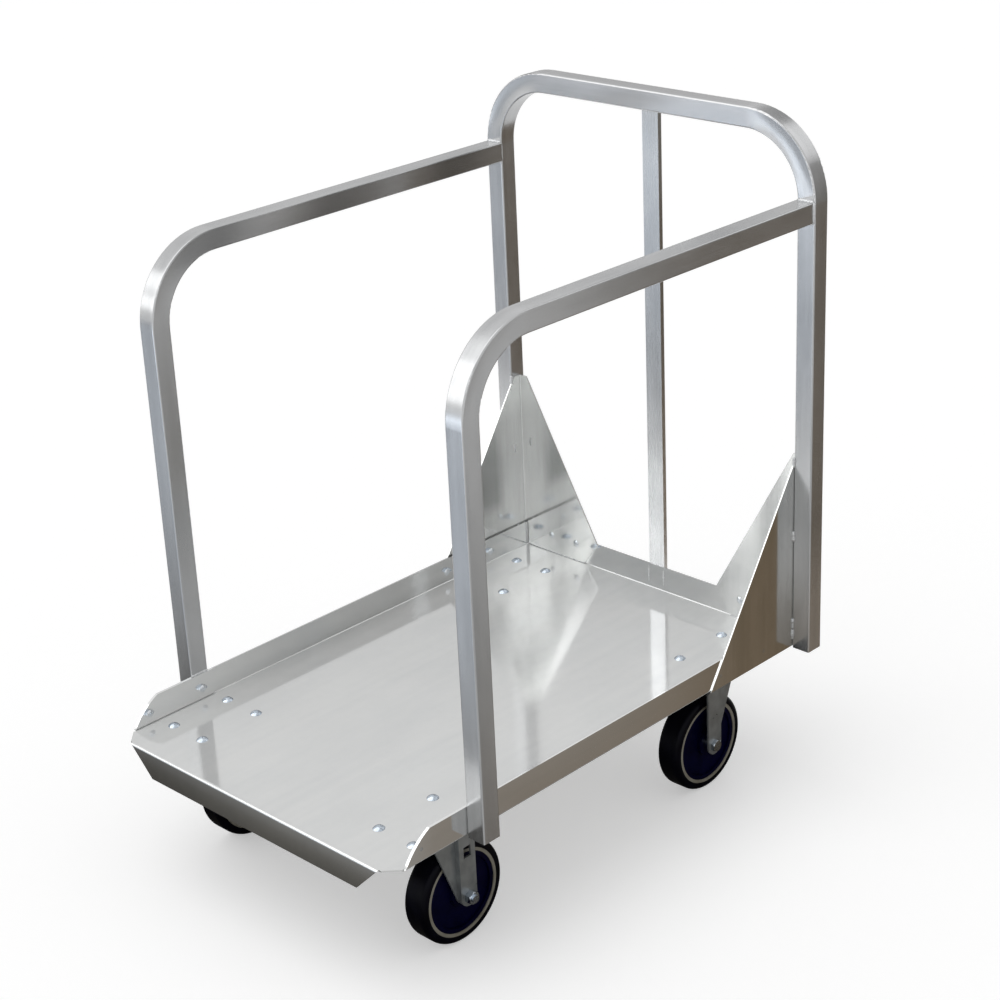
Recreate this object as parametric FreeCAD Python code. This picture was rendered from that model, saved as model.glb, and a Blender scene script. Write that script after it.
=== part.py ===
import FreeCAD, Part
import math
import os

V = FreeCAD.Vector

# Low aluminium cart for stacks of sheet pans, in millimetres.
# +X is the cart's right, +Y points back to the handle, +Z is up.
# The origin is on the floor, under the middle of the cart's plan.

# Square tube of the side rails and the handle
tube = 25.4
tube_wall = 1.6
tube_corner = 2.0
tube_inner_corner = 0.5
bend_radius = 88.9

# Deck tray, one sheet folded up at the sides and the back and down at the front
deck_width = 472.0
deck_length = 715.0
deck_sheet = 2.0
fold_radius = 1.0
flange_rise = 34.0
lip_drop = 36.0
corner_cut = 22.0
flange_nose = 37.0
nose_bulge = 3.5
lip_nose = 36.0
corner_gap = 0.8

# Side rails and handle, heights taken from the tray floor
rail_rise = 576.5
handle_rise = 675.5
post_setback = 114.3
post_drop = 4.5

# Flat bar up the middle of the back
bar_width = 25.4
bar_thickness = 6.35

# Doubler brackets inside the side flanges
bracket_sheet = 1.5
bracket_tail = 5.0

# Bent corner gussets at the back
gusset_sheet = 1.6
gusset_fold = 1.5
gusset_rise = 252.0
gusset_tip = 10.0
gusset_side_reach = 180.0
gusset_back_reach = 133.5
gusset_heel = 24.0

# Rivets through the flanges
rivet_radius = 2.4
rivet_head_radius = 4.8
rivet_head_height = 1.8
rivet_tail_radius = 3.6
rivet_tail_length = 4.0
rivet_rise = 14.0
front_rivet_setback = 45.5
side_rivet_front_inset = 163.0
side_rivet_rear_inset = 78.0
back_rivet_outer_inset = 49.0
back_rivet_inner_inset = 94.0
back_rivet_below_edge = 8.0

# Swivel casters
caster_height = 167.2
caster_side_inset = 56.0
caster_front_inset = 101.5
caster_rear_inset = 96.5
caster_trail = 39.0
plate_side_margin = 12.5
plate_end_margin = 11.0
plate_thickness = 4.0
plate_corner = 9.0

# Bolts that hold the casters to the deck
bolt_gauge = 54.0
bolt_pitch = 83.0
bolt_radius = 4.0
bolt_head_radius = 7.2
bolt_head_height = 3.6
bolt_nut_width = 12.7
bolt_nut_height = 6.7
bolt_tail = 2.0

# Ball race and kingpin
race_radius = 24.0
race_gap = 4.0
ball_radius = 3.175
ball_count = 18
kingpin_radius = 6.0
kingpin_collar_radius = 10.0
kingpin_nut_width = 19.0
kingpin_nut_height = 7.0
kingpin_tail = 2.0

# Fork, pressed from plate
crown_radius = 34.0
crown_thickness = 4.0
wheel_side_gap = 1.2
leg_step = 6.6
leg_thickness = 2.5
leg_end_radius = 12.5
leg_top_front = 10.0
leg_top_back = 22.0
leg_shoulder = 16.0
window_width = 11.0
window_height = 14.0
window_drop = 26.5

# Axle
axle_radius = 4.75
axle_head_width = 14.3
axle_head_height = 4.5
axle_nut_height = 8.0
axle_tail = 2.5
sleeve_radius = 6.5
spacer_radius = 9.0

# Wheel
wheel_radius = 63.5
tread_width = 31.75
tread_depth = 9.5
tread_shoulder = 6.0
band_depth = 4.0
band_recess = 0.4
core_rim_depth = 5.0
core_rim_recess = 1.4
core_web_recess = 4.5
hub_radius = 17.0
hub_proud = 0.4

# Clearances
seat_gap = 0.3
hole_gap = 0.3
running_gap = 0.05

# Levels and lines that follow from the sizes
deck_bottom = caster_height
deck_floor = deck_bottom + deck_sheet
flange_top = deck_floor + flange_rise
fold_outer = fold_radius + deck_sheet
side_face = deck_width / 2
side_inner = side_face - deck_sheet
overall_length = deck_length + bar_thickness
deck_front = -overall_length / 2
deck_rear = deck_front + deck_length
back_face = deck_rear + bar_thickness
rear_post_front = back_face - tube
front_post_front = deck_front + post_setback
front_post_middle = front_post_front + tube / 2
post_foot = deck_floor - post_drop
rail_middle = deck_floor + rail_rise - tube / 2
handle_middle = deck_floor + handle_rise - tube / 2
above_fold = deck_floor + fold_radius + seat_gap
gusset_back_face = deck_rear - deck_sheet
gusset_turn = gusset_back_face - gusset_sheet - gusset_fold
flange_end = gusset_turn - corner_gap
back_rivet_height = flange_top - back_rivet_below_edge
plate_width = bolt_gauge + 2 * plate_side_margin
plate_length = bolt_pitch + 2 * plate_end_margin
plate_bottom = caster_height - plate_thickness
crown_top = plate_bottom - race_gap
crown_bottom = crown_top - crown_thickness
ball_level = plate_bottom - race_gap / 2
wing_inner = tread_width / 2 + wheel_side_gap
leg_inner = wing_inner + leg_step
leg_outer = leg_inner + leg_thickness
hub_face = tread_width / 2 + hub_proud
tread_inner = wheel_radius - tread_depth
band_outer = tread_inner - running_gap
core_outer = band_outer - band_depth - running_gap


def flat_face(points):
    """Flat face inside a closed outline of straight edges."""
    return Part.Face(Part.makePolygon(points + points[:1]))


def rounded_rectangle(width, depth, corner):
    """Face in the XY plane, centred on the origin, with round corners."""
    x = width / 2 - corner
    y = depth / 2 - corner
    diagonal = corner * math.sqrt(0.5)
    edges = []
    for sx, sy in ((1, 1), (-1, 1), (-1, -1), (1, -1)):
        centre = V(sx * x, sy * y, 0)
        on_x = centre + V(sx * corner, 0, 0)
        on_y = centre + V(0, sy * corner, 0)
        middle = centre + V(sx * diagonal, sy * diagonal, 0)
        start, end = (on_x, on_y) if sx * sy > 0 else (on_y, on_x)
        if edges:
            edges.append(Part.LineSegment(edges[-1].EndPoint, start))
        edges.append(Part.Arc(start, middle, end))
    edges.append(Part.LineSegment(edges[-1].EndPoint, edges[0].StartPoint))
    return Part.Face(Part.Wire([edge.toShape() for edge in edges]))


def tube_section():
    """Cross-section of the square tube, in the XY plane round the origin."""
    bore = tube - 2 * tube_wall
    outside = rounded_rectangle(tube, tube, tube_corner)
    return outside.cut(rounded_rectangle(bore, bore, tube_inner_corner)).Faces[0]


def joined(pieces):
    """One clean solid from pieces that meet."""
    return pieces[0].multiFuse(pieces[1:]).removeSplitter()


def without(shape, cutters):
    """Shape with every cutter taken away."""
    return shape.cut(Part.makeCompound(cutters))


def mirrored_side(shape):
    """The same piece on the other side of the cart."""
    return shape.mirror(V(0, 0, 0), V(1, 0, 0))


def round_rod(radius, start, travel):
    """Cylinder from a point along a vector."""
    return Part.makeCylinder(radius, travel.Length, start, travel)


def hex_prism(width, height):
    """Hexagon standing on the XY plane, its top corners turned off as on a bolt head."""
    corner = width / math.sqrt(3)
    turns = [math.radians(60 * i) for i in range(6)]
    points = [V(math.cos(turn), math.sin(turn), 0) * corner for turn in turns]
    prism = flat_face(points).extrude(V(0, 0, height))
    chamfer = corner - width / 2
    blank = Part.makeCylinder(corner, height - chamfer)
    crown = Part.makeCone(corner, width / 2, chamfer, V(0, 0, height - chamfer))
    return prism.common(blank.fuse(crown))


# Deck tray

def folded_edge(length, height):
    """Fold and upright flange along +Y, its fold line on the Y axis and its flange at +X."""
    bend = math.sqrt(0.5)
    centre = V(0, 0, fold_outer)
    outer_end = V(fold_outer, 0, fold_outer)
    inner_end = V(fold_radius, 0, fold_outer)
    outer_middle = centre + V(fold_outer * bend, 0, -fold_outer * bend)
    inner_middle = centre + V(fold_radius * bend, 0, -fold_radius * bend)
    outer_top = V(fold_outer, 0, height)
    inner_top = V(fold_radius, 0, height)
    outline = [
        Part.Arc(V(0, 0, 0), outer_middle, outer_end),
        Part.LineSegment(outer_end, outer_top),
        Part.LineSegment(outer_top, inner_top),
        Part.LineSegment(inner_top, inner_end),
        Part.Arc(inner_end, inner_middle, V(0, 0, deck_sheet)),
        Part.LineSegment(V(0, 0, deck_sheet), V(0, 0, 0)),
    ]
    return Part.Face(Part.Wire([edge.toShape() for edge in outline])).extrude(V(0, length, 0))


def nose_cutter():
    """Block that rounds off the front end of the right side flange and of what lies against it."""
    foot = V(0, deck_front + corner_cut, deck_floor)
    slope = V(0, flange_nose, flange_rise)
    top = foot + slope
    outward = V(0, -slope.z, slope.y).normalize()
    rise = V(0, 0, flange_rise)
    clear = V(0, -deck_length, 0)
    low = foot - slope
    corners = [top + rise, top + rise + clear, low + clear, low, foot]
    edges = [Part.Arc(foot, foot + slope / 2 + outward * nose_bulge, top)]
    for corner in corners:
        edges.append(Part.LineSegment(edges[-1].EndPoint, corner))
    return Part.Face(Part.Wire([edge.toShape() for edge in edges])).extrude(V(deck_width, 0, 0))


def corner_cutter():
    """Upright wedge that takes off the tray's right front corner."""
    points = [
        V(side_face - 2 * corner_cut, deck_front - corner_cut, 0),
        V(side_face + corner_cut, deck_front + 2 * corner_cut, 0),
        V(side_face + corner_cut, deck_front - corner_cut, 0),
    ]
    return flat_face(points).extrude(V(0, 0, flange_top))


def lip_cutter():
    """Wedge that slopes the right end of the front lip."""
    end = side_face - corner_cut
    slope = V(lip_nose, 0, lip_drop)
    top = V(end, deck_front - fold_outer, deck_floor)
    points = [top, top - slope * 2, V(deck_width, top.y, top.z - 2 * lip_drop), V(deck_width, top.y, top.z)]
    return flat_face(points).extrude(V(0, 2 * fold_outer, 0))


def bolt_points():
    """Centres of the caster bolts, seen from above."""
    points = []
    for caster in caster_pivots.values():
        for sx in (-1, 1):
            for sy in (-1, 1):
                points.append(caster + V(sx * bolt_gauge / 2, sy * bolt_pitch / 2, 0))
    return points


def deck_tray():
    fold_x = side_face - fold_outer
    fold_front = deck_front + fold_outer
    fold_rear = deck_rear - fold_outer
    floor_size = (2 * fold_x, fold_rear - fold_front, deck_sheet)
    floor = Part.makeBox(*floor_size, V(-fold_x, fold_front, deck_bottom))
    flange_height = deck_sheet + flange_rise

    side = folded_edge(flange_end - deck_front, flange_height)
    side.translate(V(fold_x, deck_front, deck_bottom))
    side = side.cut(nose_cutter())

    back = folded_edge(2 * (fold_x - corner_gap), flange_height)
    back.rotate(V(0, 0, 0), V(0, 0, 1), 90)
    back.translate(V(fold_x - corner_gap, fold_rear, deck_bottom))

    lip = folded_edge(2 * side_face, lip_drop)
    lip.rotate(V(0, 0, 0), V(0, 1, 0), 180)
    lip.rotate(V(0, 0, 0), V(0, 0, 1), 90)
    lip.translate(V(side_face, fold_front, deck_floor))

    ends = [lip_cutter(), corner_cutter()]
    tray = joined([floor, side, mirrored_side(side), back, lip])
    tray = without(tray, ends + [mirrored_side(end) for end in ends])
    under = V(0, 0, deck_bottom)
    through = V(0, 0, deck_sheet)
    bolt_holes = [round_rod(bolt_radius + hole_gap, point + under, through) for point in bolt_points()]
    return without(tray, bolt_holes + rivet_holes()).removeSplitter()


# Tube frame

def carried(section, steps):
    """Solid left by a flat section that goes through straight runs and bends in turn."""
    pieces = []
    for step in steps:
        if len(step) == 1:
            pieces.append(section.extrude(*step))
            section = section.translated(*step)
        else:
            pieces.append(section.revolve(*step))
            section = section.rotated(*step)
    return joined(pieces)


def side_rail():
    """Right side rail: the front post, its bend, and the rail back to the rear post."""
    middle_x = side_face + tube / 2
    foot = V(middle_x, front_post_middle, post_foot)
    bend_centre = V(middle_x, front_post_middle + bend_radius, rail_middle - bend_radius)
    rail = carried(tube_section().translated(foot), [
        (V(0, 0, bend_centre.z - foot.z),),
        (bend_centre, V(-1, 0, 0), 90),
        (V(0, rear_post_front - bend_centre.y, 0),),
    ])
    return without(rail, rivet_holes())


def handle_hoop():
    """Both back posts and the push bar between them, bent from one tube."""
    post_x = side_face + gusset_sheet + tube / 2
    post_y = back_face - tube / 2
    foot = V(-post_x, post_y, post_foot)
    left_centre = V(-post_x + bend_radius, post_y, handle_middle - bend_radius)
    right_centre = V(post_x - bend_radius, post_y, handle_middle - bend_radius)
    rise = V(0, 0, left_centre.z - foot.z)
    return carried(tube_section().translated(foot), [
        (rise,),
        (left_centre, V(0, 1, 0), 90),
        (right_centre - left_centre,),
        (right_centre, V(0, 1, 0), 90),
        (rise * -1,),
    ])


def centre_bar():
    """Flat bar from the underside of the push bar down the outside of the back flange."""
    top = handle_middle - tube / 2
    return Part.makeBox(bar_width, bar_thickness, top - post_foot, V(-bar_width / 2, deck_rear, post_foot))


# Brackets and gussets

def front_bracket():
    """Right doubler plate, inside the side flange from its sloping end to just behind the post."""
    length = post_setback + tube + bracket_tail
    corner = V(side_inner - bracket_sheet, deck_front, above_fold)
    plate = Part.makeBox(bracket_sheet, length, flange_top - above_fold, corner)
    return without(plate, [nose_cutter()] + rivet_holes())


def rear_gusset():
    """Right corner gusset: one wing outside the side flange, one inside the back flange."""
    apex = deck_floor + gusset_rise
    side_foot = deck_rear - gusset_side_reach
    side_tip = gusset_turn - gusset_tip
    lean = (side_tip - side_foot) / gusset_rise
    side_wing = flat_face([
        V(side_face, gusset_turn, deck_bottom),
        V(side_face, gusset_turn, apex),
        V(side_face, side_tip, apex),
        V(side_face, side_foot - lean * deck_sheet, deck_bottom),
    ]).extrude(V(gusset_sheet, 0, 0))

    turn_x = side_face - gusset_fold
    back_end = side_face - gusset_back_reach
    back_front = gusset_back_face - gusset_sheet
    back_wing = flat_face([
        V(turn_x, back_front, above_fold),
        V(turn_x, back_front, apex),
        V(turn_x - gusset_tip, back_front, apex),
        V(back_end, back_front, flange_top),
        V(back_end + gusset_heel, back_front, above_fold),
    ]).extrude(V(0, gusset_sheet, 0))

    strip = flat_face([
        V(side_face, gusset_turn, above_fold),
        V(side_face + gusset_sheet, gusset_turn, above_fold),
        V(side_face + gusset_sheet, gusset_turn, apex),
        V(side_face, gusset_turn, apex),
    ])
    fold = strip.revolve(V(turn_x, gusset_turn, 0), V(0, 0, 1), 90)
    return without(joined([side_wing, fold, back_wing]), rivet_holes())


# Rivets: where the head sits, which way the shank goes, how far, and whether the tail is a blind bulb

def right_rivets():
    bracket_face = side_inner - bracket_sheet
    level = deck_floor + rivet_rise
    out = V(1, 0, 0)
    back = V(0, 1, 0)
    bracket_grip = bracket_sheet + deck_sheet
    gusset_grip = deck_sheet + gusset_sheet
    gusset_front = gusset_back_face - gusset_sheet
    return [
        (V(bracket_face, deck_front + front_rivet_setback, level), out, bracket_grip, False),
        (V(bracket_face, front_post_middle, level), out, bracket_grip + tube_wall, True),
        (V(side_inner, deck_rear - side_rivet_front_inset, level), out, gusset_grip, False),
        (V(side_inner, deck_rear - side_rivet_rear_inset, level), out, gusset_grip, False),
        (V(side_face - back_rivet_outer_inset, gusset_front, back_rivet_height), back, gusset_grip, False),
        (V(side_face - back_rivet_inner_inset, gusset_front, back_rivet_height), back, gusset_grip, False),
    ]


def domed_head(radius, height, seat, direction):
    """Low dome on its seat, the shank's direction pointing away from it."""
    dome_radius = (radius ** 2 + height ** 2) / (2 * height)
    dome = Part.makeSphere(dome_radius, seat + direction * (dome_radius - height))
    return dome.common(round_rod(radius, seat, direction * -height))


def rivet(seat, direction, grip, blind):
    """Rivet with a domed head on its seat and a shank through its grip."""
    head = domed_head(rivet_head_radius, rivet_head_height, seat, direction)
    pieces = [head, round_rod(rivet_radius, seat, direction * grip)]
    if blind:
        pieces.append(round_rod(rivet_tail_radius, seat + direction * grip, direction * rivet_tail_length))
    return joined(pieces)


def rivet_holes():
    """Holes for every rivet on the right side and its twin on the left."""
    radius = rivet_radius + running_gap
    holes = [round_rod(radius, seat, direction * grip) for seat, direction, grip, blind in right_rivets()]
    return holes + [mirrored_side(hole) for hole in holes]


def flange_rivets():
    right = [rivet(*place) for place in right_rivets()]
    return Part.makeCompound(right + [mirrored_side(shape) for shape in right])


# Casters, each made at the origin with its kingpin on the Z axis, its wheel trailing to +Y
# and the nut of its axle bolt at +X

caster_x = side_face - caster_side_inset
caster_pivots = {
    (end, side): V(sx * caster_x, y, 0)
    for end, y in (("front", deck_front + caster_front_inset), ("rear", deck_rear - caster_rear_inset))
    for side, sx in (("left", -1), ("right", 1))
}


def at_corner(shape, end, side):
    """Caster piece carried to one corner, turned about at the rear so that all wheels trail inwards."""
    if end == "rear":
        shape = shape.rotated(V(0, 0, 0), V(0, 0, 1), 180)
    return shape.translated(caster_pivots[end, side])


def caster_bolts():
    """Bolts with low domed heads on the tray floor and threads down through deck and caster plate."""
    length = deck_sheet + plate_thickness + bolt_nut_height + bolt_tail
    bolts = []
    for point in bolt_points():
        seat = point + V(0, 0, deck_floor)
        shank = round_rod(bolt_radius, seat, V(0, 0, -length))
        head = domed_head(bolt_head_radius, bolt_head_height, seat, V(0, 0, -1))
        bolts.append(joined([head, shank]))
    return Part.makeCompound(bolts)


def caster_nuts():
    nuts = []
    for point in bolt_points():
        nut = hex_prism(bolt_nut_width, bolt_nut_height)
        nut = nut.cut(Part.makeCylinder(bolt_radius + running_gap, bolt_nut_height))
        nut.rotate(V(0, 0, 0), V(1, 0, 0), 180)
        nuts.append(nut.translated(point + V(0, 0, plate_bottom)))
    return Part.makeCompound(nuts)


def race_groove():
    return Part.makeTorus(race_radius, ball_radius + running_gap, V(0, 0, ball_level), V(0, 0, 1))


def kingpin_bore(bottom, height):
    return Part.makeCylinder(kingpin_radius + running_gap, height, V(0, 0, bottom))


def caster_plate():
    plate = rounded_rectangle(plate_width, plate_length, plate_corner).extrude(V(0, 0, plate_thickness))
    plate.translate(V(0, 0, plate_bottom))
    holes = [race_groove(), kingpin_bore(plate_bottom, plate_thickness)]
    for sx in (-1, 1):
        for sy in (-1, 1):
            corner = V(sx * bolt_gauge / 2, sy * bolt_pitch / 2, plate_bottom)
            holes.append(round_rod(bolt_radius + hole_gap, corner, V(0, 0, plate_thickness)))
    return without(plate, holes)


def kingpin():
    """Pin held flush in the caster plate, with a collar under the plate."""
    low = crown_bottom - seat_gap - kingpin_nut_height - kingpin_tail
    pin = Part.makeCylinder(kingpin_radius, caster_height - low, V(0, 0, low))
    collar_bottom = crown_top + seat_gap
    collar = Part.makeCylinder(kingpin_collar_radius, plate_bottom - collar_bottom, V(0, 0, collar_bottom))
    return joined([pin, collar])


def kingpin_nut():
    nut = hex_prism(kingpin_nut_width, kingpin_nut_height)
    nut.rotate(V(0, 0, 0), V(1, 0, 0), 180)
    nut.translate(V(0, 0, crown_bottom - seat_gap))
    return nut.cut(kingpin_bore(crown_bottom - seat_gap - kingpin_nut_height, kingpin_nut_height))


def ball_race():
    balls = []
    for i in range(ball_count):
        turn = 2 * math.pi * i / ball_count
        centre = V(race_radius * math.cos(turn), race_radius * math.sin(turn), ball_level)
        balls.append(Part.makeSphere(ball_radius, centre))
    return Part.makeCompound(balls)


def leg_outline():
    """Side view of a fork leg, in the YZ plane: wide at the crown, round at the axle."""
    top = crown_bottom + crown_thickness / 2
    axle = V(0, caster_trail, wheel_radius)
    front = V(0, -leg_top_front, crown_bottom)
    reach = front - axle
    turn = math.atan2(reach.z, reach.y) + math.acos(leg_end_radius / reach.Length)
    touch = axle + V(0, math.cos(turn), math.sin(turn)) * leg_end_radius
    lowest = axle - V(0, 0, leg_end_radius)
    back = axle + V(0, leg_end_radius, 0)
    corners = [
        V(0, back.y, crown_bottom - leg_shoulder),
        V(0, leg_top_back, crown_bottom),
        V(0, leg_top_back, top),
        V(0, front.y, top),
        front,
    ]
    edges = [Part.Arc(touch, lowest, back)]
    for corner in corners + [touch]:
        edges.append(Part.LineSegment(edges[-1].EndPoint, corner))
    return Part.Face(Part.Wire([edge.toShape() for edge in edges]))


def fork_leg():
    """Right leg: a bar that holds the axle, stepped in to a wing that spreads forward under the crown."""
    front = -leg_top_front
    step = caster_trail - leg_end_radius
    back = caster_trail + leg_end_radius
    wing_outer = wing_inner + leg_thickness
    points = [
        V(leg_outer, back, 0),
        V(leg_outer, step, 0),
        V(wing_outer, step, 0),
        V(wing_outer, front, 0),
        V(wing_inner, front, 0),
        V(wing_inner, step + leg_thickness, 0),
        V(leg_inner, step + leg_thickness, 0),
        V(leg_inner, back, 0),
    ]
    plan = flat_face(points).extrude(V(0, 0, crown_top))
    return plan.common(leg_outline().extrude(V(leg_outer, 0, 0)))


def fork():
    """Crown and both legs, with a keyed window in the right leg only."""
    crown = Part.makeCylinder(crown_radius, crown_thickness, V(0, 0, crown_bottom))
    leg = fork_leg()
    across = V(2 * leg_outer, 0, 0)
    axle_start = V(-leg_outer, caster_trail, wheel_radius)
    window_low = crown_bottom - window_drop - window_height
    window_corner = V(0, caster_trail - window_width / 2, window_low)
    holes = [
        race_groove(),
        kingpin_bore(crown_bottom, crown_thickness),
        round_rod(axle_radius + running_gap, axle_start, across),
        Part.makeBox(leg_outer, window_width, window_height, window_corner),
    ]
    return without(joined([crown, leg, mirrored_side(leg)]), holes)


def on_axle(shape):
    """Piece made along the Z axis, laid on the axle with its Z axis to +X."""
    shape.rotate(V(0, 0, 0), V(0, 1, 0), 90)
    return shape.translated(V(0, caster_trail, wheel_radius))


def ring(inner, outer, width):
    """Plain ring round the Z axis, centred on the XY plane."""
    low = V(0, 0, -width / 2)
    return Part.makeCylinder(outer, width, low).cut(Part.makeCylinder(inner, width, low))


def axle_sleeve():
    """Sleeve that the wheel runs on, with a spacer on each end between hub and leg."""
    spacer_width = leg_inner - hub_face - seat_gap
    spacer = ring(sleeve_radius + running_gap, spacer_radius, spacer_width)
    spacer_place = V(0, 0, leg_inner - spacer_width / 2)
    sleeve = ring(axle_radius + running_gap, sleeve_radius, 2 * leg_inner)
    spacers = [spacer.translated(spacer_place), spacer.translated(spacer_place * -1)]
    return on_axle(Part.makeCompound([sleeve] + spacers))


def axle_bolt():
    """Bolt with its head on the left leg and its thread end past the nut on the right."""
    tip = leg_outer + axle_nut_height + axle_tail
    shank = Part.makeCylinder(axle_radius, leg_outer + tip, V(0, 0, -leg_outer))
    head = hex_prism(axle_head_width, axle_head_height)
    head.rotate(V(0, 0, 0), V(1, 0, 0), 180)
    return on_axle(joined([shank, head.translated(V(0, 0, -leg_outer))]))


def axle_nut():
    nut = hex_prism(axle_head_width, axle_nut_height)
    nut = nut.cut(Part.makeCylinder(axle_radius + running_gap, axle_nut_height))
    return on_axle(nut.translated(V(0, 0, leg_outer)))


def wheel_core():
    """Hub, web and rim in one moulding, running on the axle sleeve."""
    bore = sleeve_radius + running_gap
    rim_inner = core_outer - core_rim_depth
    hub = ring(bore, hub_radius, 2 * hub_face)
    web = ring(hub_radius, rim_inner, tread_width - 2 * core_web_recess)
    rim = ring(rim_inner, core_outer, tread_width - 2 * core_rim_recess)
    return on_axle(joined([hub, web, rim]))


def rim_band():
    return on_axle(ring(band_outer - band_depth, band_outer, tread_width - 2 * band_recess))


def tread():
    body = ring(tread_inner, wheel_radius, tread_width)
    shoulders = [
        edge for edge in body.Edges
        if len(edge.Vertexes) == 1 and abs(edge.Curve.Radius - wheel_radius) < running_gap
    ]
    return on_axle(body.makeFillet(tread_shoulder, shoulders))


# Every piece under its own name

pieces = {
    "deck_tray": deck_tray(),
    "right_side_rail": side_rail(),
    "left_side_rail": mirrored_side(side_rail()),
    "handle_hoop": handle_hoop(),
    "centre_bar": centre_bar(),
    "right_front_bracket": front_bracket(),
    "left_front_bracket": mirrored_side(front_bracket()),
    "right_rear_gusset": rear_gusset(),
    "left_rear_gusset": mirrored_side(rear_gusset()),
    "flange_rivets": flange_rivets(),
    "caster_bolts": caster_bolts(),
    "caster_nuts": caster_nuts(),
}
caster_pieces = {
    "caster_plate": caster_plate(),
    "kingpin": kingpin(),
    "kingpin_nut": kingpin_nut(),
    "ball_race": ball_race(),
    "fork": fork(),
    "axle_sleeve": axle_sleeve(),
    "axle_bolt": axle_bolt(),
    "axle_nut": axle_nut(),
    "wheel_core": wheel_core(),
    "rim_band": rim_band(),
    "tread": tread(),
}
for end, side in caster_pivots:
    for name, shape in caster_pieces.items():
        pieces[f"{end}_{side}_{name}"] = at_corner(shape, end, side)

os.makedirs("parts", exist_ok=True)
for name, shape in pieces.items():
    shape.exportStep(f"parts/{name}.step")
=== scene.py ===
import math
import random

import bmesh
import bpy
from mathutils import Euler, Matrix, Vector


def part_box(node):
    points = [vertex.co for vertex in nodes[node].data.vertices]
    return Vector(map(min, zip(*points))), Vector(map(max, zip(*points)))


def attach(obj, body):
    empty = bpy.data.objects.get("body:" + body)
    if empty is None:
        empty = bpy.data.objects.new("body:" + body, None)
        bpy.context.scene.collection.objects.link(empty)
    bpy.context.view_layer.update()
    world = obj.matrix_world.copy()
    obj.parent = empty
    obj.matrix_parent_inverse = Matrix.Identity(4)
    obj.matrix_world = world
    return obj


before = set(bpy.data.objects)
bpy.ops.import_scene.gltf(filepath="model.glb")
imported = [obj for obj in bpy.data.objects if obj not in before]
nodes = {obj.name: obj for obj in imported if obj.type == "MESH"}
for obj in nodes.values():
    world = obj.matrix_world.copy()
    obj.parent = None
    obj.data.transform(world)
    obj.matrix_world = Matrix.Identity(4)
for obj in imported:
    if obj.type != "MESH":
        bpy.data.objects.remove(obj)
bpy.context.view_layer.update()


# Deck tray: one sheet of bright mill aluminium, folded up at the sides and the back and down
# at the front. The rolling grain runs along the cart, and the sheet is bright enough to mirror
# the posts and gussets, with the slight waviness of thin plate.
AXES = ("X", "Y", "Z")
FLANGE_RISE = 0.034


def wire(tree, source, target):
    tree.links.new(source, target)


def math_node(tree, operation, *values):
    """Math node with sockets or plain numbers as its inputs; gives its output."""
    node = tree.nodes.new("ShaderNodeMath")
    node.operation = operation
    for socket, value in zip(node.inputs, values):
        if isinstance(value, (int, float)):
            socket.default_value = value
        else:
            wire(tree, value, socket)
    return node.outputs["Value"]


def product(tree, first, *others):
    """Values multiplied together."""
    for other in others:
        first = math_node(tree, "MULTIPLY", first, other)
    return first


def past(tree, value, edge):
    """How far a value lies past an edge, and 0 before it."""
    return math_node(tree, "MAXIMUM", math_node(tree, "SUBTRACT", value, edge), 0.0)


def noise_node(tree, vector, scale, detail, roughness=0.5):
    node = tree.nodes.new("ShaderNodeTexNoise")
    node.inputs["Scale"].default_value = scale
    node.inputs["Detail"].default_value = detail
    node.inputs["Roughness"].default_value = roughness
    wire(tree, vector, node.inputs["Vector"])
    return node.outputs["Fac"]


def range_node(tree, value, low, high, out_low, out_high, blend="LINEAR"):
    node = tree.nodes.new("ShaderNodeMapRange")
    node.interpolation_type = blend
    wire(tree, value, node.inputs["Value"])
    ends = {"From Min": low, "From Max": high, "To Min": out_low, "To Max": out_high}
    for name, number in ends.items():
        node.inputs[name].default_value = number
    return node.outputs["Result"]


def rise(tree, value, low, high):
    """0 below a range of values, 1 above it."""
    return range_node(tree, value, low, high, 0.0, 1.0)


def fall(tree, value, low, high):
    """1 below a range of values, 0 above it."""
    return range_node(tree, value, low, high, 1.0, 0.0)


def ramp_node(tree, value, *stops):
    """Colour ramp through (position, colour) stops."""
    node = tree.nodes.new("ShaderNodeValToRGB")
    elements = node.color_ramp.elements
    while len(elements) < len(stops):
        elements.new(0.5)
    for element, (position, colour) in zip(elements, stops):
        element.position = position
        element.color = (*colour, 1.0)
    wire(tree, value, node.inputs["Fac"])
    return node.outputs["Color"]


def vector_node(tree, x, y, z):
    node = tree.nodes.new("ShaderNodeCombineXYZ")
    for socket, value in zip(node.inputs, (x, y, z)):
        wire(tree, value, socket)
    return node.outputs["Vector"]


def scale_node(tree, colour, factor):
    """Colour times a value."""
    node = tree.nodes.new("ShaderNodeVectorMath")
    node.operation = "SCALE"
    wire(tree, colour, node.inputs["Vector"])
    wire(tree, factor, node.inputs["Scale"])
    return node.outputs["Vector"]


def object_xyz(tree):
    """The piece's own X, Y and Z, in metres."""
    place = tree.nodes.new("ShaderNodeTexCoord")
    split = tree.nodes.new("ShaderNodeSeparateXYZ")
    wire(tree, place.outputs["Object"], split.inputs["Vector"])
    return [split.outputs[axis] for axis in AXES]


def new_group(name, inputs, outputs):
    """Empty shader node group; gives the tree, its inputs and its outputs."""
    tree = bpy.data.node_groups.new(name, "ShaderNodeTree")
    for socket in inputs:
        tree.interface.new_socket(name=socket, in_out="INPUT", socket_type="NodeSocketFloat")
    for socket in outputs:
        tree.interface.new_socket(name=socket, in_out="OUTPUT", socket_type="NodeSocketFloat")
    start = tree.nodes.new("NodeGroupInput")
    end = tree.nodes.new("NodeGroupOutput")
    return tree, start.outputs, end.inputs


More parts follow.
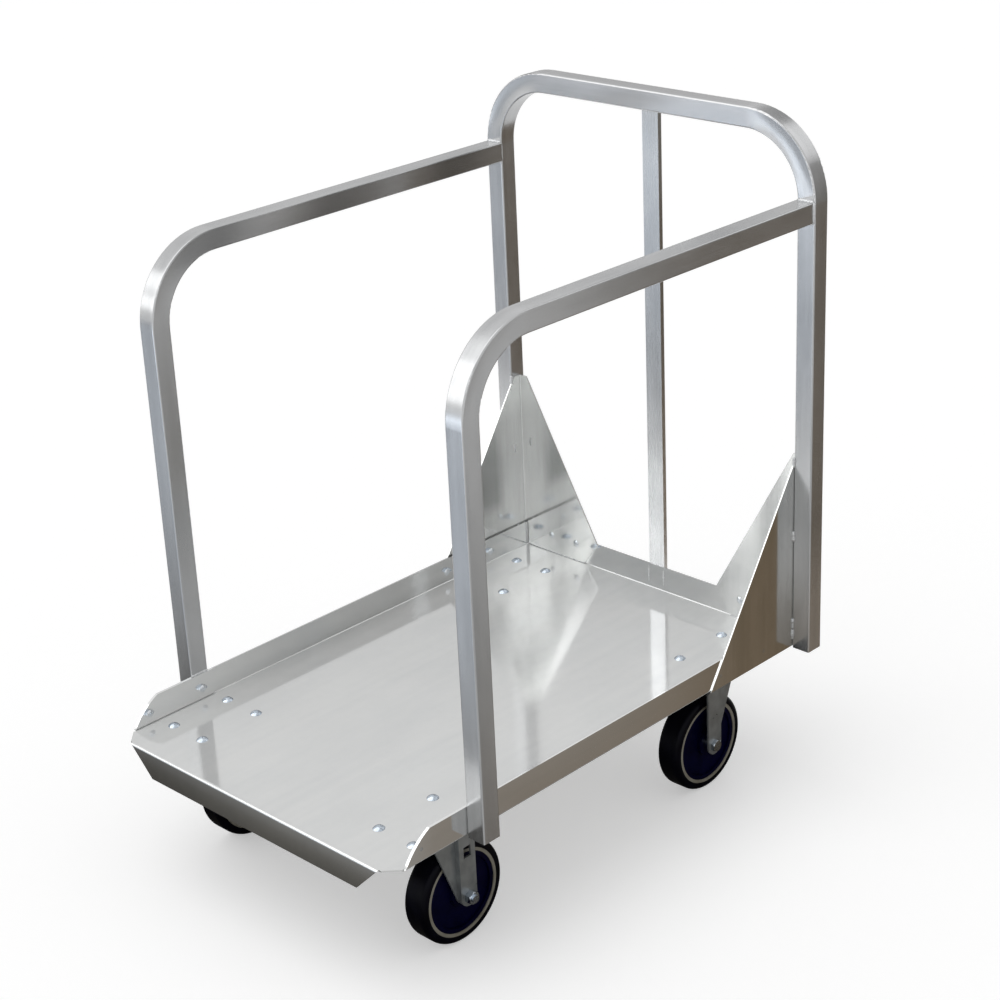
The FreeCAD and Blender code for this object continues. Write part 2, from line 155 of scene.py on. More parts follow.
def mill_grain_group():
    """Drawn or rolled aluminium: fine streaks along the metal, soft mottling, a wavy skin."""
    ways = ("Across", "Along", "Side")
    tree, given, made = new_group("mill_grain", ways, ("Streaks", "Mottle", "Height"))
    across, along, side = (given[way] for way in ways)
    drawn_out = vector_node(tree, across, product(tree, along, 0.03), side)
    stretched = vector_node(tree, across, product(tree, along, 0.4), side)
    streaks = noise_node(tree, drawn_out, 700.0, 3.0, 0.65)
    bands = noise_node(tree, drawn_out, 90.0, 2.0)
    mottle = noise_node(tree, stretched, 16.0, 4.0, 0.6)
    wave = noise_node(tree, vector_node(tree, across, along, side), 7.0, 1.0)
    wire(tree, streaks, made["Streaks"])
    mixed = math_node(tree, "MULTIPLY_ADD", bands, 0.35, product(tree, mottle, 0.65))
    wire(tree, mixed, made["Mottle"])
    height = math_node(tree, "MULTIPLY_ADD", wave, 0.10, product(tree, streaks, 0.0003))
    wire(tree, height, made["Height"])
    return tree


mill_grain = mill_grain_group()


def new_material(name):
    """Node material; gives the material, its tree and its shader."""
    material = bpy.data.materials.new(name)
    material.use_nodes = True
    return material, material.node_tree, material.node_tree.nodes["Principled BSDF"]


def bump_from(tree, shader, height, strength, distance):
    bump = tree.nodes.new("ShaderNodeBump")
    bump.inputs["Strength"].default_value = strength
    bump.inputs["Distance"].default_value = distance
    wire(tree, height, bump.inputs["Height"])
    wire(tree, bump.outputs["Normal"], shader.inputs["Normal"])


def bright_aluminium(
        name, dull, bright, smooth, rough, waviness, coordinates,
        dish=None, bare=1.0, wear=None, painted_shading=None):
    """Aluminium with its grain: two tones, two roughnesses, the depth of its waves, how bare it is.

    Dish, wear and painted shading are functions that add to the height, set how bare it is, and paint light
    and shade into the tone.
    """
    material, tree, shader = new_material(name)
    grain = tree.nodes.new("ShaderNodeGroup")
    grain.node_tree = mill_grain
    for value, socket in zip(coordinates(tree), grain.inputs):
        wire(tree, value, socket)
    tone = ramp_node(tree, grain.outputs["Mottle"], (0.36, dull), (0.60, bright))
    # Painted light and shade scale the tone here.
    if painted_shading:
        tone = scale_node(tree, tone, painted_shading(tree))
    wire(tree, tone, shader.inputs["Base Color"])
    both = math_node(tree, "ADD", grain.outputs["Streaks"], grain.outputs["Mottle"])
    wire(tree, range_node(tree, both, 0.7, 1.3, smooth, rough), shader.inputs["Roughness"])
    shader.inputs["Metallic"].default_value = bare
    if wear:
        wire(tree, wear(tree), shader.inputs["Metallic"])
    height = grain.outputs["Height"]
    if dish:
        height = math_node(tree, "ADD", height, dish(tree))
    bump_from(tree, shader, height, 1.0, waviness)
    return material


def lengthwise(tree):
    """Grain that runs along the cart."""
    return object_xyz(tree)


def dress(material, *names):
    """Gives pieces their finish."""
    for name in names:
        for slot in nodes[name].material_slots:
            slot.material = material


def scuffed_floor(tree):
    """How bare the sheet is: pans have scuffed the floor to a haze, the folds are still bright."""
    x, y, z = object_xyz(tree)
    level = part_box("deck_tray")[1].z - FLANGE_RISE
    floor_side = rise(tree, z, level - 0.0012, level - 0.0006)
    below_fold = fall(tree, z, level + 0.0004, level + 0.0009)
    clouds = noise_node(tree, vector_node(tree, x, y, z), 9.0, 4.0)
    haze = range_node(tree, clouds, 0.3, 0.7, 0.52, 0.66)
    return past(tree, 1.0, product(tree, haze, floor_side, below_fold))


bright_sheet = bright_aluminium(
    "bright_sheet", (0.70, 0.71, 0.71), (0.745, 0.75, 0.745), 0.07, 0.105, 0.0009, lengthwise,
    wear=scuffed_floor)
dress(bright_sheet, "deck_tray")


# Front brackets: small doubler plates of the same bright sheet, laid inside the side flanges
# where the front posts are riveted through.
dress(bright_sheet, "left_front_bracket", "right_front_bracket")


# Side rails: square aluminium tube, bent from the front post into the top rail. The drawing
# streaks follow the tube round its bend, and handling has left it a little dull.
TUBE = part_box("right_side_rail")[1].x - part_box("right_side_rail")[0].x
BEND_RADIUS = 0.0889
PATCH_SPACING = 0.2
TUBE_BARE = 0.88


def hypotenuse(tree, a, b):
    squares = math_node(tree, "MULTIPLY_ADD", a, a, product(tree, b, b))
    return math_node(tree, "SQRT", squares)


def bend_dish(tree, one, two, depth):
    """Hollow that a bend leaves in the tube's flat sides, from the reaches past the bend's centre."""
    middle = math_node(tree, "SUBTRACT", hypotenuse(tree, one, two), BEND_RADIUS)
    share = math_node(tree, "DIVIDE", middle, TUBE / 2)
    hollow = past(tree, 1.0, product(tree, share, share))
    into_bend = math_node(tree, "MINIMUM", one, two)
    return product(tree, hollow, range_node(tree, into_bend, 0.0, 0.04, 0.0, -depth, "SMOOTHSTEP"))


def rail_reaches(tree):
    """How far a point on a rail lies ahead of the bend's centre and above it."""
    low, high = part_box("right_side_rail")
    x, y, z = object_xyz(tree)
    ahead = past(tree, low.y + TUBE / 2 + BEND_RADIUS, y)
    return ahead, past(tree, z, high.z - TUBE / 2 - BEND_RADIUS)


def along_rail(tree):
    """Across, along and side of a rail: the bend's rounded corner keeps the streaks on the tube."""
    x, y, z = object_xyz(tree)
    return hypotenuse(tree, *rail_reaches(tree)), math_node(tree, "ADD", y, z), x


def rail_dish(tree):
    return bend_dish(tree, *rail_reaches(tree), depth=0.6)


def painted_inner_shade(tree):
    """Painted shade in patches high on the inner faces of the rails, for their blotchy reflections."""
    low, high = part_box("right_side_rail")
    x, y, z = object_xyz(tree)
    inner = fall(tree, math_node(tree, "ABSOLUTE", x), low.x + 0.0004, low.x + 0.0010)
    upper = rise(tree, z, high.z - 0.06, high.z - 0.03)
    drift = range_node(tree, noise_node(tree, vector_node(tree, x, y, z), 6.0, 2.0), 0.0, 1.0, -1.0, 1.0)
    swing = math_node(tree, "SINE", math_node(tree, "MULTIPLY_ADD", y, math.tau / PATCH_SPACING, drift))
    patches = range_node(tree, swing, -1.0, 1.0, 0.08, 0.48)
    return past(tree, 1.0, product(tree, patches, inner, upper))


# The rails carry painted shade in patches on their inner faces.
rail_tube = bright_aluminium(
    "rail_tube", (0.43, 0.435, 0.44), (0.51, 0.515, 0.52), 0.20, 0.27, 0.0004, along_rail,
    rail_dish, TUBE_BARE, painted_shading=painted_inner_shade)
dress(rail_tube, "left_side_rail", "right_side_rail")


# Handle hoop: the same square tube, bent to an upside-down U. Its legs stand outside the gussets
# at the rear corners of the tray, and the bar between them is what the cart is pushed by.
def hoop_reaches(tree):
    """How far a point on the hoop lies outside the bend's centre and above it."""
    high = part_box("handle_hoop")[1]
    x, y, z = object_xyz(tree)
    aside = past(tree, math_node(tree, "ABSOLUTE", x), high.x - TUBE / 2 - BEND_RADIUS)
    return aside, past(tree, z, high.z - TUBE / 2 - BEND_RADIUS)


def along_hoop(tree):
    """Across, along and side of the hoop, as for a rail."""
    x, y, z = object_xyz(tree)
    along = math_node(tree, "SUBTRACT", math_node(tree, "ABSOLUTE", x), z)
    return hypotenuse(tree, *hoop_reaches(tree)), along, y


def hoop_dish(tree):
    return bend_dish(tree, *hoop_reaches(tree), depth=2.4)


def painted_light_below(low, high, share):
    """Painted light low down: the full, brightened tone up to one height, a share of it above another."""
    def look(tree):
        x, y, z = object_xyz(tree)
        return range_node(tree, z, low, high, 1.0, share)
    return look


# The hoop is painted lighter low on its legs; above, its tone is that of the rails.
hoop_tube = bright_aluminium(
    "hoop_tube", (0.614, 0.621, 0.628), (0.73, 0.735, 0.743), 0.20, 0.27, 0.0004, along_hoop,
    hoop_dish, TUBE_BARE, painted_shading=painted_light_below(low=0.24, high=0.34, share=0.70))
dress(hoop_tube, "handle_hoop")


# Centre bar: flat aluminium bar, welded under the push bar and down the outside of the back
# flange to stiffen the back.
def upright(tree):
    """Grain that runs up the cart."""
    x, y, z = object_xyz(tree)
    return math_node(tree, "ADD", x, y), z, math_node(tree, "SUBTRACT", x, y)


# The bar is painted lighter low down, where it catches bright light; above, its tone is that of the rails.
flat_bar = bright_aluminium(
    "flat_bar", (0.73, 0.74, 0.75), (0.86, 0.87, 0.88), 0.22, 0.30, 0.0003, upright,
    painted_shading=painted_light_below(low=0.32, high=0.50, share=0.60))
dress(flat_bar, "centre_bar")


# Rear gussets: thin bright sheet, bent to the corner, one wing outside the side flange and one
# inside the back flange. They brace the handle's legs.
# Strengths of the painted shadow along the seam and of the painted shade on the wing.
SEAM_SHADE = 0.78
WING_SHADE = 0.32


def gusset_painted_shade(tree):
    """Painted shade on the inner face of the side wing, and a painted shadow line along its seam above the
    side flange.
    """
    x, y, z = object_xyz(tree)
    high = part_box("deck_tray")[1]
    aside = math_node(tree, "ABSOLUTE", x)
    inner_face = product(
        tree, rise(tree, aside, high.x - 0.0012, high.x - 0.0004),
        fall(tree, aside, high.x + 0.0004, high.x + 0.0010))
    seam_shadow = product(
        tree, rise(tree, z, high.z - 0.0010, high.z - 0.0004),
        range_node(tree, z, high.z + 0.0018, high.z + 0.0030, SEAM_SHADE, 0.0))
    shaded_wing = product(
        tree, rise(tree, z, high.z + 0.030, high.z + 0.050),
        range_node(tree, z, high.z + 0.08, high.z + 0.16, WING_SHADE, 0.0),
        fall(tree, y, high.y - 0.060, high.y - 0.040))
    return past(tree, 1.0, product(tree, inner_face, math_node(tree, "MAXIMUM", seam_shadow, shaded_wing)))


# The gussets carry a painted shadow line along the seam and painted shade inside the side wing.
gusset_sheet = bright_aluminium(
    "gusset_sheet", (0.65, 0.66, 0.65), (0.75, 0.755, 0.75), 0.07, 0.15, 0.0009, upright,
    painted_shading=gusset_painted_shade)
dress(gusset_sheet, "left_rear_gusset", "right_rear_gusset")


# Weld beads: short rippled runs of filler where the rails meet the handle, where the centre bar
# meets the handle and the back flange, and down the seams of posts and gussets.
RIPPLE = 0.0022
RIPPLE_POINTS = 4
BEAD_SIDES = 14
chance = random.Random(7)
weld_metal = bright_aluminium(
    "weld_metal", (0.52, 0.53, 0.54), (0.66, 0.67, 0.68), 0.20, 0.34, 0.0003, upright, bare=0.6)


def bead_outline(length, radius):
    """Half outline of one bead: ripples of uneven height, rounded off at both ends."""
    ripples = max(2, round(length / RIPPLE))
    heights = [chance.uniform(0.85, 1.05) for _ in range(ripples + 1)]
    points = []
    for step in range(ripples * RIPPLE_POINTS + 1):
        ripple, part = divmod(step, RIPPLE_POINTS)
        along = step / (ripples * RIPPLE_POINTS)
        swell = heights[ripple] * (0.86 + 0.14 * math.sin(math.pi * part / RIPPLE_POINTS))
        taper = math.sqrt(1.0 - abs(2.0 * along - 1.0) ** 6)
        points.append(Vector((radius * swell * taper, 0.0, length * along)))
    return points


def weld_bead(start, end, radius):
    """One bead between two points, half of it sunk in the metal."""
    shape = bmesh.new()
    dots = [shape.verts.new(point) for point in bead_outline((end - start).length, radius)]
    lines = [shape.edges.new(pair) for pair in zip(dots, dots[1:])]
    bmesh.ops.spin(
        shape, geom=dots + lines, axis=(0.0, 0.0, 1.0), cent=(0.0, 0.0, 0.0), angle=math.tau,
        steps=BEAD_SIDES, use_merge=True)
    bmesh.ops.remove_doubles(shape, verts=shape.verts, dist=1e-6)
    bmesh.ops.recalc_face_normals(shape, faces=shape.faces)
    turn = (end - start).to_track_quat("Z", "Y").to_matrix().to_4x4()
    bmesh.ops.transform(shape, matrix=Matrix.Translation(start) @ turn, verts=shape.verts)
    return shape


def weld_group(name, beads):
    """All the beads of one joint as one piece on the frame."""
    mesh = bpy.data.meshes.new(name)
    whole = bmesh.new()
    for start, end, radius in beads:
        shape = weld_bead(Vector(start), Vector(end), radius)
        shape.to_mesh(mesh)
        shape.free()
        whole.from_mesh(mesh)
    for face in whole.faces:
        face.smooth = True
    whole.to_mesh(mesh)
    whole.free()
    mesh.materials.append(weld_metal)
    piece = bpy.data.objects.new(name, mesh)
    bpy.context.scene.collection.objects.link(piece)
    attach(piece, "frame")


hoop_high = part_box("handle_hoop")[1]
rail_low, rail_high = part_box("right_side_rail")
bar_low, bar_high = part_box("centre_bar")
deck_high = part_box("deck_tray")[1]
SEAM = hoop_high.x - TUBE
PUSH_BAR = hoop_high.z - TUBE
RAIL_BEADS = (0.0028, 0.0020, 0.0022, 0.0020)
TACK_BEAD = 0.0024
TACK = 0.014
TACK_HEIGHTS = (0.176, 0.191, 0.311, 0.410)
CORNER_BEAD = 0.0021
CORNER_INSET = (0.0018, 0.0047)
FOOT_BEAD = 0.0011
GUSSET_HEEL = 0.1265
GUSSET_FOOT = (deck_high.y - 0.0036, deck_high.z - FLANGE_RISE + 0.0004)
POST_BEAD = 0.0020
for side, sign in (("left", -1.0), ("right", 1.0)):
    rim = [(sign * x, rail_high.y, z) for x, z in (
        (SEAM, rail_high.z), (rail_high.x, rail_high.z), (rail_high.x, rail_high.z - TUBE),
        (SEAM, rail_high.z - TUBE))]
    weld_group(f"{side}_rail_weld", zip(rim, rim[1:] + rim[:1], RAIL_BEADS))
    tack_line = (sign * SEAM, rail_high.y)
    weld_group(f"{side}_gusset_tacks", [
        ((*tack_line, height), (*tack_line, height + TACK), TACK_BEAD) for height in TACK_HEIGHTS])
    corner = (sign * (deck_high.x - CORNER_INSET[0]), deck_high.y - CORNER_INSET[1])
    weld_group(f"{side}_corner_weld", [
        ((*corner, GUSSET_FOOT[1]), (*corner, deck_high.z), CORNER_BEAD),
        ((corner[0], *GUSSET_FOOT), (sign * GUSSET_HEEL, *GUSSET_FOOT), FOOT_BEAD)])
    flange_edge = sign * deck_high.x
    weld_group(f"{side}_post_weld", [(
        (flange_edge, rail_low.y, deck_high.z), (flange_edge, rail_low.y + TUBE, deck_high.z), POST_BEAD)])

BAR_TOP_BEAD = 0.0030
BAR_SIDE_BEAD = 0.0022
BAR_FLANGE_BEAD = 0.0020
BAR_SEAM_BEAD = 0.0025
BAR_SEAM_START = bar_low.z + 0.008
bar_beads = [
    ((bar_low.x, bar_low.y, PUSH_BAR), (bar_high.x, bar_low.y, PUSH_BAR), BAR_TOP_BEAD),
    ((bar_low.x, bar_low.y, deck_high.z), (bar_high.x, bar_low.y, deck_high.z), BAR_FLANGE_BEAD)]
for x in (bar_low.x, bar_high.x):
    bar_beads.append(((x, bar_low.y, PUSH_BAR), (x, bar_high.y, PUSH_BAR), BAR_SIDE_BEAD))
    bar_beads.append(((x, bar_low.y, BAR_SEAM_START), (x, bar_low.y, deck_high.z), BAR_SEAM_BEAD))
weld_group("centre_bar_weld", bar_beads)


# Rivets and bolts: satin aluminium rivets through the flanges, and zinc plated caster bolts with
# low domed heads on the tray floor, with the faint crystalline bloom of the plating.
def zinc_bloom_group():
    """Zinc plate: small crystals, with cloudier patches over them."""
    tree, given, made = new_group("zinc_bloom", ("Grain",), ("Crystals", "Cloud"))
    place = tree.nodes.new("ShaderNodeTexCoord")
    cells = tree.nodes.new("ShaderNodeTexVoronoi")
    wire(tree, place.outputs["Object"], cells.inputs["Vector"])
    wire(tree, given["Grain"], cells.inputs["Scale"])
    wire(tree, cells.outputs["Distance"], made["Crystals"])
    wire(tree, noise_node(tree, place.outputs["Object"], 60.0, 4.0, 0.6), made["Cloud"])
    return tree


zinc_bloom = zinc_bloom_group()


def zinc_plate(name, dull, bright, smooth, rough, grain, bare=1.0):
    """Plated metal: two tones, two roughnesses, crystals to the metre, how bare it is."""
    material, tree, shader = new_material(name)
    bloom = tree.nodes.new("ShaderNodeGroup")
    bloom.node_tree = zinc_bloom
    bloom.inputs["Grain"].default_value = grain
    cloud = bloom.outputs["Cloud"]
    wire(tree, ramp_node(tree, cloud, (0.35, dull), (0.65, bright)), shader.inputs["Base Color"])
    wire(tree, range_node(tree, cloud, 0.3, 0.7, smooth, rough), shader.inputs["Roughness"])
    shader.inputs["Metallic"].default_value = bare
    bump_from(tree, shader, bloom.outputs["Crystals"], 0.15, 0.0003)
    return material


rivet_metal = zinc_plate("rivet_metal", (0.55, 0.58, 0.61), (0.68, 0.71, 0.74), 0.16, 0.28, 500.0)
bolt_zinc = zinc_plate("bolt_zinc", (0.40, 0.45, 0.51), (0.54, 0.59, 0.65), 0.12, 0.22, 600.0)
dress(rivet_metal, "flange_rivets")
dress(bolt_zinc, "caster_bolts", "caster_nuts")


# Casters: pressed and zinc plated steel forks under flat plates, on a ball race round a
# kingpin. Each fork carries an axle bolt in a sleeve.
CORNERS = [f"{end}_{side}" for end in ("front", "rear") for side in ("left", "right")]
fork_zinc = zinc_plate("fork_zinc", (0.22, 0.235, 0.24), (0.29, 0.305, 0.31), 0.26, 0.42, 350.0, 0.55)
ball_steel = zinc_plate("ball_steel", (0.60, 0.61, 0.62), (0.68, 0.69, 0.70), 0.06, 0.12, 900.0)
for corner in CORNERS:
    dress(fork_zinc, f"{corner}_caster_plate", f"{corner}_fork")
    dress(bolt_zinc, *(f"{corner}_{piece}" for piece in (
        "kingpin", "kingpin_nut", "axle_sleeve", "axle_bolt", "axle_nut")))
    dress(ball_steel, f"{corner}_ball_race")


# Wheels: a dark navy moulded core, a thin pale band that shows on the side, and a tread of
# black rubber with a faint bloom.
def moulded_skin_group():
    """Moulded plastic or rubber: a fine pebbled skin and a soft bloom."""
    tree, given, made = new_group("moulded_skin", ("Pebble",), ("Bloom", "Skin"))
    place = tree.nodes.new("ShaderNodeTexCoord")
    fine = tree.nodes.new("ShaderNodeTexNoise")
    wire(tree, place.outputs["Object"], fine.inputs["Vector"])
    wire(tree, given["Pebble"], fine.inputs["Scale"])
    wire(tree, fine.outputs["Fac"], made["Skin"])
    wire(tree, noise_node(tree, place.outputs["Object"], 45.0, 4.0, 0.6), made["Bloom"])
    return tree


moulded_skin = moulded_skin_group()


def moulding(name, dark, light, smooth, rough, pebble, shine):
    """Moulded piece: two tones, two roughnesses, pebbles to the metre, how much it shines."""
    material, tree, shader = new_material(name)
    shader.inputs["Specular IOR Level"].default_value = shine
    skin = tree.nodes.new("ShaderNodeGroup")
    skin.node_tree = moulded_skin
    skin.inputs["Pebble"].default_value = pebble
    bloom = skin.outputs["Bloom"]
    wire(tree, ramp_node(tree, bloom, (0.35, dark), (0.68, light)), shader.inputs["Base Color"])
    wire(tree, range_node(tree, bloom, 0.3, 0.7, smooth, rough), shader.inputs["Roughness"])
    bump_from(tree, shader, skin.outputs["Skin"], 0.2, 0.0002)
    return material


core_plastic = moulding(
    "core_plastic", (0.0005, 0.0005, 0.012), (0.0012, 0.0012, 0.022), 0.30, 0.42, 900.0, 0.05)
band_plastic = moulding(
    "band_plastic", (0.20, 0.185, 0.145), (0.27, 0.255, 0.21), 0.45, 0.60, 1200.0, 0.4)
tread_rubber = moulding(
    "tread_rubber", (0.0006, 0.0006, 0.002), (0.002, 0.002, 0.006), 0.30, 0.46, 1500.0, 0.07)
for corner in CORNERS:
    dress(core_plastic, f"{corner}_wheel_core")
    dress(band_plastic, f"{corner}_rim_band")
    dress(tread_rubber, f"{corner}_tread")


# Studio: a plain pale floor in a white room, a wide soft light from above, glowing cards round the cart
# that only its metal mirrors, which are painted reflections, and the camera.
def flat_object(name, width, depth, matrix):
    """Rectangle at the place of a matrix, which moves its mesh and not the object."""
    mesh = bpy.data.meshes.new(name)
    shape = bmesh.new()
    bmesh.ops.create_grid(shape, x_segments=1, y_segments=1, size=0.5)
    sized = matrix @ Matrix.Diagonal((width, depth, 1.0, 1.0))
    bmesh.ops.transform(shape, matrix=sized, verts=shape.verts)
    shape.to_mesh(mesh)
    shape.free()
    made = bpy.data.objects.new(name, mesh)
    bpy.context.scene.collection.objects.link(made)
    return made


def emptied_tree(holder):
    """Empty node tree of a material or of the world."""
    holder.use_nodes = True
    holder.node_tree.nodes.clear()
    return holder.node_tree


def seen_directly(tree):
    """1 for what the camera, a reflection or a glass sees, 0 for light that only bounces."""
    ray = tree.nodes.new("ShaderNodeLightPath")
    seen = math_node(tree, "MAXIMUM", ray.outputs["Is Camera Ray"], ray.outputs["Is Glossy Ray"])
    return math_node(tree, "MAXIMUM", seen, ray.outputs["Is Transmission Ray"])


FLOOR_SIZE = 60.0
FLOOR_GLOW = 0.42
floor = flat_object("floor", FLOOR_SIZE, FLOOR_SIZE, Matrix.Identity(4))
floor_paper = bpy.data.materials.new("floor_paper")
tree = emptied_tree(floor_paper)
paper = tree.nodes.new("ShaderNodeBsdfDiffuse")
paper.inputs["Color"].default_value = (0.80, 0.80, 0.80, 1.0)
glow = tree.nodes.new("ShaderNodeEmission")
wire(tree, product(tree, seen_directly(tree), FLOOR_GLOW), glow.inputs["Strength"])
both = tree.nodes.new("ShaderNodeAddShader")
wire(tree, paper.outputs["BSDF"], both.inputs[0])
wire(tree, glow.outputs["Emission"], both.inputs[1])
wire(tree, both.outputs["Shader"], tree.nodes.new("ShaderNodeOutputMaterial").inputs["Surface"])
floor.data.materials.append(floor_paper)

world = bpy.data.worlds.new("studio")
bpy.context.scene.world = world
tree = emptied_tree(world)
room = tree.nodes.new("ShaderNodeBackground")
room.inputs["Strength"].default_value = 0.5
white = tree.nodes.new("ShaderNodeBackground")
white.inputs["Strength"].default_value = 1.0
pick = tree.nodes.new("ShaderNodeMixShader")
for background in (room, white):
    background.inputs["Color"].default_value = (1.0, 1.0, 1.0, 1.0)
wire(tree, seen_directly(tree), pick.inputs["Fac"])
wire(tree, room.outputs["Background"], pick.inputs[1])
wire(tree, white.outputs["Background"], pick.inputs[2])
wire(tree, pick.outputs["Shader"], tree.nodes.new("ShaderNodeOutputWorld").inputs["Surface"])


def card(name, width, depth, matrix, look, level=1.0):
    """Glowing card that lights nothing and shows only in the cart's metal: a painted reflection."""
    made = flat_object(name, width, depth, matrix)
    material = bpy.data.materials.new(name)
    tree = emptied_tree(material)
    glow = tree.nodes.new("ShaderNodeEmission")
    glow.inputs["Strength"].default_value = level
    wire(tree, look(tree), glow.inputs["Color"])
    wire(tree, glow.outputs["Emission"], tree.nodes.new("ShaderNodeOutputMaterial").inputs["Surface"])
    made.data.materials.append(material)
    made.visible_camera = False
    made.visible_diffuse = False
    made.visible_shadow = False


def right_floor(tree):
    """Brown, darker close to the cart and behind it, where its shadow is painted in; paler away from it and
    towards the camera.
    """
    x, y, z = object_xyz(tree)
    along = math_node(tree, "ADD", x, y)
    across = math_node(tree, "SUBTRACT", y, x)
    lit = fall(tree, across, -0.50, 0.10)
    near = math_node(tree, "MULTIPLY_ADD", lit, range_node(tree, along, 0.5, 2.9, 0.12, 0.76), 0.13)
    open_side = fall(tree, across, -0.85, -0.55)
    tone = math_node(tree, "MULTIPLY_ADD", open_side, math_node(tree, "SUBTRACT", 0.68, near), near)
    return ramp_node(
        tree, tone, (0.0, (0.06, 0.045, 0.03)), (0.15, (0.18, 0.138, 0.095)), (0.35, (0.36, 0.345, 0.325)),
        (0.6, (0.60, 0.60, 0.595)), (0.9, (0.90, 0.90, 0.90)))


def colour_math(tree, operation, one, two):
    """Two colours, or a colour and a value, put together."""
    node = tree.nodes.new("ShaderNodeVectorMath")
    node.operation = operation
    wire(tree, one, node.inputs[0])
    wire(tree, two, node.inputs[1])
    return node.outputs["Vector"]


FRONT_LEVEL = 2.6


def front_floor(tree):
    """Dark in the cart's own shade, cool and pale further off, brightest far out."""
    x, y, z = object_xyz(tree)
    ahead = product(tree, y, -1.0)
    shade = ramp_node(
        tree, ahead, (0.46, (0.04, 0.037, 0.032)), (0.51, (0.12, 0.115, 0.105)), (0.55, (0.30, 0.30, 0.30)),
        (0.63, (0.52, 0.54, 0.57)), (0.80, (0.63, 0.67, 0.72)), (1.0, (0.76, 0.82, 0.90)))
    rightward = range_node(tree, x, -1.5, -0.2, 0.85, 1.12)
    bright = product(
        tree, rise(tree, ahead, 1.7, 2.1), range_node(tree, x, -2.2, -1.8, -0.25, 3.8),
        range_node(tree, x, -1.6, -1.35, 1.0, 0.5))
    close = product(tree, range_node(tree, x, -0.45, -0.15, 0.36, 0.0), fall(tree, ahead, 0.55, 0.80))
    belt = product(
        tree, rise(tree, ahead, 1.20, 1.35), fall(tree, ahead, 1.60, 1.75),
        range_node(tree, x, -1.45, -1.25, 0.0, 0.28))
    dimmed = math_node(tree, "SUBTRACT", rightward, math_node(tree, "ADD", close, belt))
    level = math_node(tree, "DIVIDE", math_node(tree, "ADD", dimmed, bright), FRONT_LEVEL)
    beside = product(
        tree, fall(tree, x, -0.75, -0.5), range_node(tree, ahead, 0.42, 0.51, 1.5 / FRONT_LEVEL, 0.0))
    return colour_math(tree, "ADD", scale_node(tree, shade, level), beside)


def back_right_wall(tree):
    """Dim, paler low down and towards the right, bright high up on the left."""
    x, y, z = object_xyz(tree)
    height = ramp_node(
        tree, rise(tree, z, 0.25, 2.5), (0.1, (0.24, 0.23, 0.21)), (0.45, (0.42, 0.41, 0.40)),
        (0.72, (0.15, 0.145, 0.14)), (1.0, (0.13, 0.125, 0.12)))
    side = ramp_node(
        tree, rise(tree, x, 1.6, 2.9), (0.0, (0.20, 0.19, 0.18)), (0.3, (0.34, 0.335, 0.33)),
        (0.6, (0.47, 0.465, 0.46)), (1.0, (0.94, 0.93, 0.92)))
    window = product(tree, range_node(tree, x, 1.52, 1.66, 1.4, 0.0), rise(tree, z, 1.42, 1.52))
    return colour_math(tree, "MAXIMUM", colour_math(tree, "MAXIMUM", height, side), window)


def back_left_wall(tree):
    """Bright high up, dimmer low down, and dim again high up on the right."""
    x, y, z = object_xyz(tree)
    tone = ramp_node(
        tree, rise(tree, z, 1.3, 2.0), (0.0, (0.62, 0.62, 0.625)), (0.45, (0.80, 0.80, 0.80)),
        (1.0, (0.96, 0.96, 0.96)))
    corner = product(tree, range_node(tree, z, 1.46, 1.60, 0.36, 0.0), rise(tree, x, -2.05, -1.88))
    right = rise(tree, x, -1.64, -1.50)
    change = range_node(tree, z, 1.65, 2.25, 0.3, -0.55)
    level = math_node(tree, "MULTIPLY_ADD", right, change, 1.0)
    return scale_node(tree, tone, math_node(tree, "SUBTRACT", level, corner))


def front_window(tree):
    """Bright, with a dim patch, given by its middle and its half width and height."""
    x, y, z = object_xyz(tree)
    overshoots = []
    for value, middle, reach in ((x, -1.70, 0.32), (z, 1.37, 0.16)):
        distance = math_node(tree, "ABSOLUTE", math_node(tree, "SUBTRACT", value, middle))
        overshoots.append(math_node(tree, "SUBTRACT", distance, reach))
    beyond = rise(tree, math_node(tree, "MAXIMUM", *overshoots), -0.05, 0.05)
    return ramp_node(tree, beyond, (0.0, (0.11, 0.113, 0.116)), (1.0, (1.0, 1.0, 1.0)))


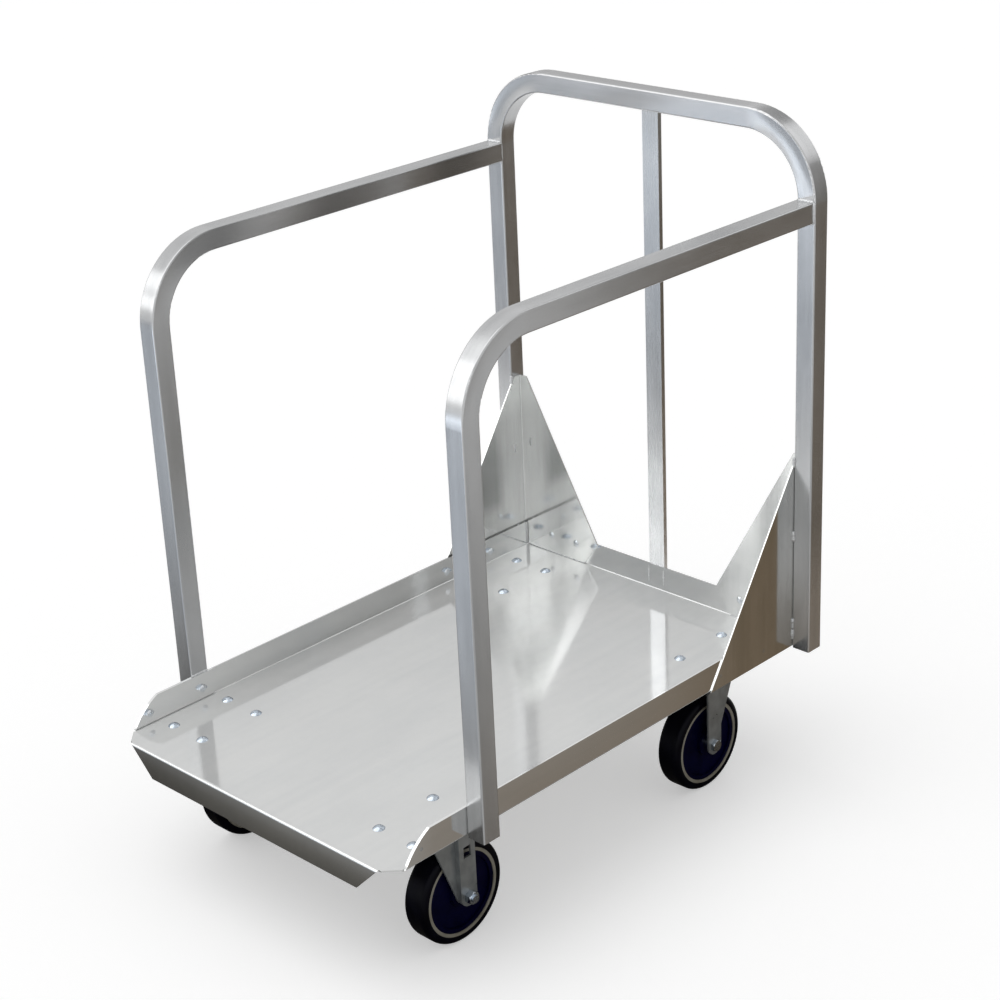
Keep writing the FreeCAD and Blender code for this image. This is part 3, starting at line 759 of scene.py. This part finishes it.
def camera_side(tree):
    """Bright above the camera, dim below it and towards the right."""
    x, y, z = object_xyz(tree)
    height = range_node(tree, z, 1.42, 1.74, 0.36, 0.85)
    tone = product(tree, height, range_node(tree, x, 1.92, 2.01, 2.1, 0.15))
    return vector_node(tree, tone, tone, tone)


def standing(place, turn):
    """Matrix of an upright card at a place, turned about the upright axis by degrees."""
    upended = Matrix.Rotation(math.radians(90.0), 4, "X")
    return Matrix.Translation(place) @ Matrix.Rotation(math.radians(turn), 4, "Z") @ upended


FLOOR_LEVEL = 0.002
PANEL_LEVEL = 2.6
# Painted reflections: glowing cards, seen only in the metal, for the floor, walls and windows round the
# cart, with the cart's shadow painted into the floor cards.
card("right_card", 3.25, 4.1, Matrix.Translation((1.875, 1.05, FLOOR_LEVEL)), right_floor)
card("front_card", 3.6, 3.6, Matrix.Translation((-1.5, -1.4, FLOOR_LEVEL)), front_floor, FRONT_LEVEL)
card("back_right_card", 3.0, 3.05, standing((1.70, 2.0, 1.775), 0.0), back_right_wall)
card("back_left_card", 5.2, 4.2, standing((-2.0, 2.2, 2.2), 45.0), back_left_wall)
card("front_panel", 2.6, 1.95, standing((-2.0, -1.6, 1.725), 0.0), front_window, PANEL_LEVEL)
card("camera_panel", 1.4, 1.4, standing((1.95, -1.9, 1.7), 45.0), camera_side, PANEL_LEVEL)

sun = bpy.data.lights.new("top_light", "SUN")
sun.energy = 0.8
sun.angle = math.radians(60.0)
top_light = bpy.data.objects.new("top_light", sun)
top_light.rotation_euler = Euler((math.radians(20.0), math.radians(-15.0), 0.0))
bpy.context.scene.collection.objects.link(top_light)

lens = bpy.data.cameras.new("camera")
lens.sensor_width = 36.0
lens.lens = 78.2
camera = bpy.data.objects.new("camera", lens)
camera.location = (1.7036, -1.6451, 1.4340)
camera.rotation_euler = Euler([math.radians(angle) for angle in (66.701, 2.461, 43.841)])
bpy.context.scene.collection.objects.link(camera)
bpy.context.scene.camera = camera
bpy.context.scene.view_settings.view_transform = "Standard"
